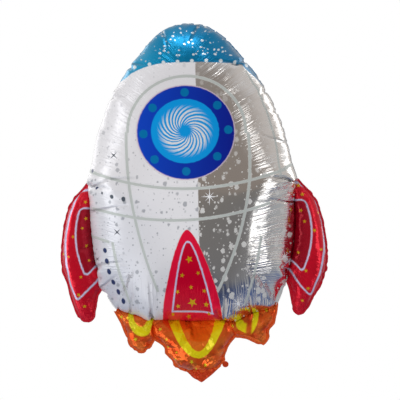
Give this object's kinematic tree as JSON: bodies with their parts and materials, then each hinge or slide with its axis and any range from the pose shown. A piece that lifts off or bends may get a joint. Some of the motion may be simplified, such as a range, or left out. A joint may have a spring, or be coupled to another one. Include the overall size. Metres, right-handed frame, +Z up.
{
  "type": "rocket-shaped foil balloon",
  "caption": "Inflated foil party balloon shaped as a toy rocket: two printed sheets welded along a flat seam, with a hull, side fins, tail flames, a filling neck and a tie tab",
  "frame": {"origin": "on the hull's axis in the seam plane, at the hull's widest height, where the air's lift acts on the floating balloon", "axes": "+Z up along the rocket to its nose; the seam lies in the XZ plane; the printed front faces -Y; +X is the viewer's right"},
  "size_m": [0.444, 0.2396, 0.5997],
  "materials": {
    "white_silver_foil": "white ink over mirror silver metallised film",
    "blue_foil": "transparent blue ink over metallised film",
    "navy_print": "glossy navy ink",
    "sky_print": "glossy sky blue ink",
    "red_foil": "transparent red ink over metallised film",
    "orange_foil": "transparent orange ink over metallised film",
    "clear_film": "unprinted metallised film, heat-sealed"
  },
  "bodies": {
    "root": {"hull_front_sheet": "white_silver_foil", "nose_front_sheet": "blue_foil", "porthole_ring_front": "navy_print", "porthole_glass_front": "sky_print", "centre_fin_front": "red_foil", "left_fin_front_sheet": "red_foil", "right_fin_front_sheet": "red_foil", "left_flame_front_sheet": "orange_foil", "centre_flame_front_sheet": "orange_foil", "right_flame_front_sheet": "orange_foil", "hull_back_sheet": "white_silver_foil", "nose_back_sheet": "blue_foil", "porthole_ring_back": "navy_print", "porthole_glass_back": "sky_print", "centre_fin_back": "red_foil", "left_fin_back_sheet": "red_foil", "right_fin_back_sheet": "red_foil", "left_flame_back_sheet": "orange_foil", "centre_flame_back_sheet": "orange_foil", "right_flame_back_sheet": "orange_foil", "nose_seam": "blue_foil", "hull_seam": "clear_film", "left_fin_seam": "red_foil", "right_fin_seam": "red_foil", "left_flame_seam": "orange_foil", "centre_flame_seam": "orange_foil", "right_flame_seam": "orange_foil", "filling_neck": "orange_foil", "tie_tab": "orange_foil"}
  },
  "joints": []
}
